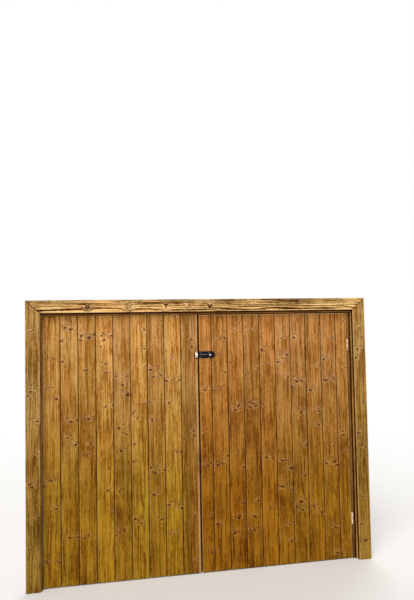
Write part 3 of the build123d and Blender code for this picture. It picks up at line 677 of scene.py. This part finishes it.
# A painted shadow round the foot of a fitting, given by its middle and half its size
fitting_shadow, given = new_group("fitting_shadow", {"Color": "colour", "Place": "vector", "Middle": "vector",
                                               "Half size": "vector"}, {"Color": "colour"})
off = make(fitting_shadow, "VectorMath", {0: vector("SUBTRACT", given["Place"], given["Middle"])},
           operation="ABSOLUTE")[0]
off_x, _, off_z = parts(vector("SUBTRACT", off, given["Half size"]))
close_group(fitting_shadow, {"Color": mix(ramp(calc("MAXIMUM", off_x, off_z), 0.002, 0.005, 0.9, 0.0),
                                       given["Color"], srgb(24, 12, 8))})

# Painted shade on the sides of the edge strip and the facing at the gap
narrow_recess = (recess_shade, {"Front": board_face, "Ease": 0.001})
stained_plank("panel_edge_strip", 45.0, upright_plank, upper=((176, 126, 64), (116, 74, 30)),
              lower=((146, 102, 26), (88, 52, 8)), marks=[narrow_recess])

facing_knots = [(0.018, 1.67, 7), (0.020, 1.62, 8), (0.025, 1.01, 7), (0.032, 0.98, 7), (0.025, 0.41, 6),
                (0.040, 0.10, 5)]
facing_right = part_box("post_facing")[1][0]
# A painted highlight along the facing's edge at the gap
facing_arris = (arris_highlight, {"Direction": (1, 0, 0), "Distance": facing_right, "Width": 0.009,
                               "Strength": 0.85, "Front": board_face})

# The painted shadow round the keep falls down and to the left of it
keep_low, keep_high = (Vector(corner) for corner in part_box("bolt_keep"))
shadow_offset = Vector((-0.003, 0, -0.005))
keep_shadow = (fitting_shadow, {"Middle": (keep_low + keep_high) / 2 + shadow_offset,
                          "Half size": (keep_high - keep_low) / 2})
stained_plank("post_facing", 46.0, upright_plank, upper=((190, 134, 72), (110, 64, 22)),
              lower=((152, 102, 30), (80, 44, 6)), knots=[facing_knots], ring_contrast=0.6,
              marks=[facing_arris, keep_shadow, narrow_recess])

# Frame of the leaf
# Two stiles, with three rails between them and two braces that rise away from the hinges, are screwed to the
# leaf's boards from behind. They are of the same wood as the rails of the panel.


def sloping_plank(name, piece):
    """Where a spot lies on a plank that slopes down from left to right across its box: square to the plank
    from its middle line, into it and along it."""
    low, high = (Vector(corner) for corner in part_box(name))
    middle = (low + high) / 2
    slope = -math.atan2(high[2] - low[2], high[0] - low[0])

    def plank(place):
        x, y, z = parts(place)
        off_x, off_z = x - middle[0], z - middle[2]
        across = off_z * math.cos(slope) - off_x * math.sin(slope)
        return joined(across, y, off_x * math.cos(slope) + off_z * math.sin(slope)), piece, across
    return plank


# Painted shade on the stiles where they show through the gap
for name, piece in (("leaf_lock_stile", 53.0), ("leaf_hinge_stile", 54.0)):
    stained_plank(name, piece, upright_plank, **framing_stain, marks=[behind_gap])
for name, piece in (("leaf_top_rail", 65.0), ("leaf_middle_rail", 66.0), ("leaf_bottom_rail", 67.0)):
    stained_plank(name, piece, level_plank, **framing_stain)
for name, piece in (("leaf_upper_brace", 71.0), ("leaf_lower_brace", 72.0)):
    stained_plank(name, piece, sloping_plank, **framing_stain)

# Boards of the leaf
# Ten boards like the panel's, the outer two ripped to fit, screwed to the leaf's frame from behind. The leaf
# has kept more of its stain than the panel, is redder towards the bolt, has highlights painted along its
# edges and shade painted on its sides at the gaps.

# Painted shade on a side that closes a gap. The side lies square to a direction, at a distance along it, and
# where the gap is darkest the painted shade reaches round the arris too.
side_shade, given = new_group("side_shade", {"Color": "colour", "Place": "vector", "Direction": "vector",
                                           "Distance": "value", "Reach": "value", "Front": "value"},
                             {"Color": "colour"})
reach = given["Reach"]
off_side = abs(dot(given["Place"], given["Direction"]) - given["Distance"])
painted_shade = ramp(off_side, reach * 0.5, reach * 1.5, 0.9, 0.0)
behind_face = ramp(parts(given["Place"])[1], given["Front"] + 0.003, given["Front"] + 0.007)
painted_shade = painted_shade * calc("MAXIMUM", behind_face, ramp(reach, 0.0005, 0.001))
close_group(side_shade, {"Color": mix(painted_shade, given["Color"], srgb(30, 14, 6))})

leaf_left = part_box("leaf_board_1")[0][0]
leaf_right, _, leaf_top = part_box("leaf_board_10")[1]
leaf_marks = [board_joint]
# Painted highlights along the leaf's edges, and painted shade on the sides that close its gaps
for direction, distance, highlight_strength, reach in (
        ((1, 0, 0), leaf_left, 0.7, 0.002), ((1, 0, 0), leaf_right, 0.7, 0.0004),
        ((0, 0, 1), leaf_top, 0.85, 0.0004)):
    edge = {"Direction": direction, "Distance": distance, "Front": board_face}
    leaf_marks += [(arris_highlight, {**edge, "Width": 0.004, "Strength": highlight_strength}),
                   (side_shade, {**edge, "Reach": reach})]
leaf_tones = [(1.06, 0.95, 0.78), (1.00, 0.92, 0.78), (1.04, 0.95, 0.82), (0.98, 0.94, 0.86),
              (1.04, 0.98, 0.88), (1.02, 1.02, 1.04), (0.96, 0.97, 1.02), (1.05, 1.06, 1.02),
              (0.99, 1.00, 1.02), (1.06, 1.07, 1.04)]
leaf_knots = [
    [(0.075, 1.66, 4), (0.070, 1.30, 9), (0.055, 0.99, 4),
     (0.080, 0.76, 8), (0.105, 0.41, 6), (0.100, 0.14, 7)],
    [(0.100, 1.68, 6), (0.070, 1.67, 6), (0.045, 1.56, 5), (0.100, 1.42, 6), (0.065, 1.31, 6),
     (0.015, 1.30, 6), (0.105, 0.82, 7), (0.065, 0.77, 7), (0.030, 0.76, 8), (0.025, 0.34, 7)],
    [(0.090, 1.78, 4), (0.050, 1.73, 5), (0.020, 1.49, 4), (0.080, 1.18, 8), (0.050, 1.15, 9),
     (0.060, 0.84, 4), (0.110, 0.73, 8), (0.105, 0.47, 7), (0.060, 0.37, 8), (0.030, 0.26, 9)],
    [(0.050, 1.73, 5), (0.105, 1.45, 5), (0.015, 1.40, 6), (0.065, 1.19, 8), (0.095, 1.17, 6),
     (0.050, 1.16, 7), (0.090, 0.48, 7), (0.060, 0.37, 8), (0.025, 0.28, 7), (0.060, 0.27, 7)],
    [(0.025, 1.71, 4), (0.020, 1.58, 8), (0.065, 1.47, 5),
     (0.040, 1.16, 5), (0.040, 0.79, 9), (0.060, 0.42, 6)],
    [(0.055, 1.67, 5), (0.095, 1.54, 8), (0.025, 1.49, 9), (0.100, 1.38, 6), (0.045, 0.76, 8),
     (0.105, 0.70, 9), (0.035, 0.57, 10), (0.110, 0.54, 7), (0.090, 0.29, 7), (0.095, 0.17, 6)],
    [(0.030, 1.67, 8), (0.045, 1.34, 10), (0.085, 1.34, 7), (0.010, 1.30, 8), (0.075, 1.11, 8),
     (0.115, 0.86, 8), (0.095, 0.64, 7), (0.060, 0.45, 9), (0.020, 0.41, 8), (0.070, 0.39, 8)],
    [(0.095, 1.45, 6), (0.030, 1.27, 9), (0.095, 1.11, 9),
     (0.090, 1.01, 9), (0.035, 0.41, 8), (0.100, 0.36, 8)],
    [(0.090, 1.66, 5), (0.025, 1.50, 8), (0.100, 1.35, 7), (0.030, 1.34, 9), (0.085, 0.85, 5),
     (0.090, 0.73, 8), (0.020, 0.72, 8), (0.110, 0.70, 9), (0.085, 0.24, 7), (0.090, 0.05, 7)],
    [(0.070, 1.79, 4), (0.070, 1.43, 4), (0.050, 1.12, 4), (0.035, 0.95, 5), (0.045, 0.92, 8),
     (0.065, 0.80, 5), (0.015, 0.04, 6)]]
leaf_wood = pine_material(
    "leaf_pine", row_of_boards(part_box("leaf_board_2")[0][0]), upper=((198, 139, 76), (121, 70, 20)),
    lower=((158, 106, 20), (81, 44, 1)), knots=leaf_knots, first_piece=-1, tones=leaf_tones, marks=leaf_marks)
finish_nodes(leaf_wood, *[f"leaf_board_{number}" for number in range(1, 11)])

# Hinges
# Two pressed steel butt hinges with their pins, screwed into the joint between the leaf and the hanging
# strip, so that only their knuckles show. Their zinc has gone cream in the weather.

# Metal whose colour drifts from fresh to worn in small patches, a little rougher and uneven where it is worn
handled_metal, given = new_group("handled_metal", {"Place": "vector", "Fresh": "colour", "Worn": "colour",
                                                   "Lumps": "value", "Smooth": "value"},
                                 {"Color": "colour", "Patches": "value", "Roughness": "value"})
patches = noise(given["Place"], given["Lumps"], 4.0, 0.6)
wear = ramp(patches, 0.45, 0.7)
close_group(handled_metal, {"Color": mix(wear, given["Fresh"], given["Worn"]), "Patches": patches,
                            "Roughness": wear * 0.15 + given["Smooth"]})


def metal_material(name, fresh, worn, metallic, roughness, lumps=160.0, specular=0.5, marks=()):
    """A metal finish that goes from its fresh to its worn colour in so many patches to the metre, with the
    marks laid over it: painted highlights, and the dulling that rain has left."""
    material = bpy.data.materials.new(name)
    tree = new_tree(material)
    place = make(tree, "TexCoord")["Object"]
    metal = make(tree, "Group", {"Place": place, "Fresh": srgb(*fresh), "Worn": srgb(*worn), "Lumps": lumps,
                                 "Smooth": roughness}, node_tree=handled_metal)
    colour = lay_marks(metal["Color"], marks, {"Place": place, "Patches": metal["Patches"]})
    bump = make(tree, "Bump", {"Strength": 0.6, "Distance": 0.00015, "Height": metal["Patches"]})[0]
    surface = make(tree, "BsdfPrincipled", {"Base Color": colour, "Metallic": metallic,
                                            "Roughness": metal["Roughness"], "Normal": bump,
                                            "Specular IOR Level": specular})[0]
    make(tree, "OutputMaterial", {0: surface})
    return material


hinge_zinc = metal_material("hinge_zinc", (246, 222, 176), (150, 120, 80), 0.3, 0.42, lumps=60.0)
finish_nodes(hinge_zinc, *[f"hinge_{where}_{piece}" for where in ("top", "bottom")
                           for piece in ("frame_flap", "leaf_flap", "pin")])

# Bolt
# A steel barrel on a pressed plate, both painted black, is screwed to the leaf. Its plated rod slides into a
# plated keep on the facing. A highlight is painted along the barrel, the rod's knob is worn bright by hands,
# and rain has dulled the rest of the rod.

# A painted highlight along a level line, where light catches the rounded barrel
highlight_line, given = new_group("highlight_line", {"Color": "colour", "Place": "vector", "Patches": "value",
                                               "Height": "value", "Highlight": "colour"}, {"Color": "colour"})
highlight = ramp(abs(parts(given["Place"])[2] - given["Height"]), 0.0012, 0.0032, 0.85, 0.0)
highlight = highlight * ramp(given["Patches"], 0.3, 0.55)
close_group(highlight_line, {"Color": mix(highlight, given["Color"], given["Highlight"])})

# Metal that rain has dulled, from a depth backwards
dull_behind, given = new_group("dull_behind", {"Color": "colour", "Place": "vector", "Depth": "value",
                                               "Dull": "colour"}, {"Color": "colour"})
depth_behind = parts(given["Place"])[1] - given["Depth"]
close_group(dull_behind, {"Color": mix(ramp(depth_behind, -0.0005, 0.0005), given["Color"], given["Dull"])})

black_paint = metal_material("black_paint", (6, 6, 10), (20, 19, 24), 0.0, 0.38, specular=0.15)
barrel_low, barrel_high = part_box("bolt_barrel")
shine_height = 0.3 * barrel_low[2] + 0.7 * barrel_high[2]
# A painted highlight along the top of the barrel
barrel_shine = (highlight_line, {"Height": shine_height, "Highlight": srgb(128, 128, 152)})
barrel_paint = metal_material("barrel_paint", (6, 6, 10), (20, 19, 24), 0.0, 0.34, specular=0.2,
                              marks=[barrel_shine])
rod_steel = metal_material("rod_steel", (236, 220, 212), (206, 190, 180), 0.6, 0.4,
                           marks=[(dull_behind, {"Depth": barrel_low[1], "Dull": srgb(46, 42, 46)})])
keep_zinc = metal_material("keep_zinc", (255, 246, 222), (226, 206, 168), 0.2, 0.45, lumps=90.0)
finish_nodes(black_paint, "bolt_plate")
finish_nodes(barrel_paint, "bolt_barrel")
finish_nodes(rod_steel, "bolt_rod")
finish_nodes(keep_zinc, "bolt_keep")

# Screws and nails
# Countersunk zinc-plated screws with a cross recess, driven flush, and plain nails. Those of the bolt and its
# keep show at the front, those of the boards at the back, and the hinges' when the leaf is open.


def screw_shape(head, length):
    """The points and faces of one countersunk screw that points down, with the middle of its head at the
    origin.

    The head's face is a square grid pressed into a disc: u and v from -1 to 1 go to u sqrt(1 - v v / 2) and
    v sqrt(1 - u u / 2), times the head's radius. The cross is sunk into it where u and v are both within an
    arm, and its floor falls from the arms' ends to the middle. The grid's edge is then carried down to the
    end of the cone under the head, to the end of the shank and to the tip."""
    shank = 0.53 * head
    recess = 0.4 * head
    floor_rise = 0.6
    arm_width, arm_end, arm_slope = 0.13, 0.56, 0.05
    arm = [arm_width, arm_width + arm_slope, arm_end, arm_end + arm_slope, 1.0]
    stops = np.array([-stop for stop in arm[::-1]] + arm)
    u, v = np.meshgrid(stops, stops, indexing="ij")

    def sunk(across, along):
        within = np.interp(abs(across), arm[:2], [1, 0]) * np.interp(abs(along), arm[2:4], [1, 0])
        return within * (1 - floor_rise * abs(along))

    face = np.stack([head * u * np.sqrt(1 - v * v / 2), head * v * np.sqrt(1 - u * u / 2),
                     -recess * np.maximum(sunk(u, v), sunk(v, u))], axis=-1).reshape(-1, 3)
    index = np.arange(len(face)).reshape(u.shape)
    edge = np.concatenate([index[0, :-1], index[:-1, -1], index[-1, :0:-1], index[:0:-1, 0]])
    cone = face[edge] * (shank / head, shank / head, 0) + (0, 0, shank - head)
    points = np.vstack([face, cone, cone * (1, 1, 0) + (0, 0, 2 * shank - length), [(0, 0, -length)]])
    rings = [edge, *(len(face) + np.arange(len(edge)) + ring * len(edge) for ring in (0, 1))]
    top = np.stack([index[:-1, :-1], index[1:, :-1], index[1:, 1:], index[:-1, 1:]], axis=-1)
    bands = [np.stack([high, np.roll(high, -1), np.roll(low, -1), low], axis=-1)
             for high, low in zip(rings, rings[1:])]
    tips = np.stack([rings[2], np.roll(rings[2], -1), np.full(len(edge), len(points) - 1)], axis=-1)
    return points, np.vstack([top.reshape(-1, 4), *bands]), tips


def cross_screws(node, body, inwards, material):
    """Puts a screw with a cross in place of each plain one of a CAD node. The deepest points of the node are
    its screws' tips, and each screw reaches back from there against the way that it was driven, turned about
    its own axis by the golden angle times its number, so that no two crosses lie alike."""
    cad = np.array([point.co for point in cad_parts[node].data.vertices])
    inwards = np.array(inwards, float)
    depth = cad @ inwards
    decimals = 5
    tips = np.unique(cad[depth > depth.max() - 10 ** -decimals].round(decimals), axis=0)
    head = tips[:, 2].min() - cad[:, 2].min()
    length = depth.max() - depth.min()
    points, quads, triangles = screw_shape(head, length)
    golden_angle = math.pi * (3 - math.sqrt(5))
    angle = np.arange(len(tips))[:, None] * golden_angle
    x = points[:, 0] * np.cos(angle) - points[:, 1] * np.sin(angle)
    y = points[:, 0] * np.sin(angle) + points[:, 1] * np.cos(angle)
    turned = np.stack([x, y, np.broadcast_to(points[:, 2], x.shape)], axis=-1)
    upwards = np.array((0.0, 0.0, 1.0))
    placed = turned @ np.array([np.cross(upwards, -inwards), upwards, -inwards])
    placed += (tips - length * inwards)[:, None]
    step = np.arange(len(tips))[:, None, None] * len(points)
    faces = [*(quads + step).reshape(-1, 4).tolist(), *(triangles + step).reshape(-1, 3).tolist()]
    made = mesh_object(f"{node}_crossed", placed.reshape(-1, 3), faces, material, smooth=False)
    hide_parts(node)
    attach(made, body)


fitting_zinc = metal_material("screw_zinc", (120, 122, 132), (84, 84, 92), 0.8, 0.4)
zinc = metal_material("zinc_plate", (196, 190, 176), (150, 142, 126), 0.9, 0.34)
cross_screws("bolt_plate_screws", "leaf", (0, 1, 0), fitting_zinc)
cross_screws("keep_screws", "frame", (0, 1, 0), fitting_zinc)
cross_screws("hinge_leaf_screws", "leaf", (-1, 0, 0), zinc)
cross_screws("hinge_frame_screws", "frame", (1, 0, 0), zinc)
cross_screws("leaf_screws", "leaf", (0, -1, 0), zinc)
cross_screws("panel_screws", "frame", (0, -1, 0), zinc)
finish_nodes(zinc, "casing_nails", "facing_nails")
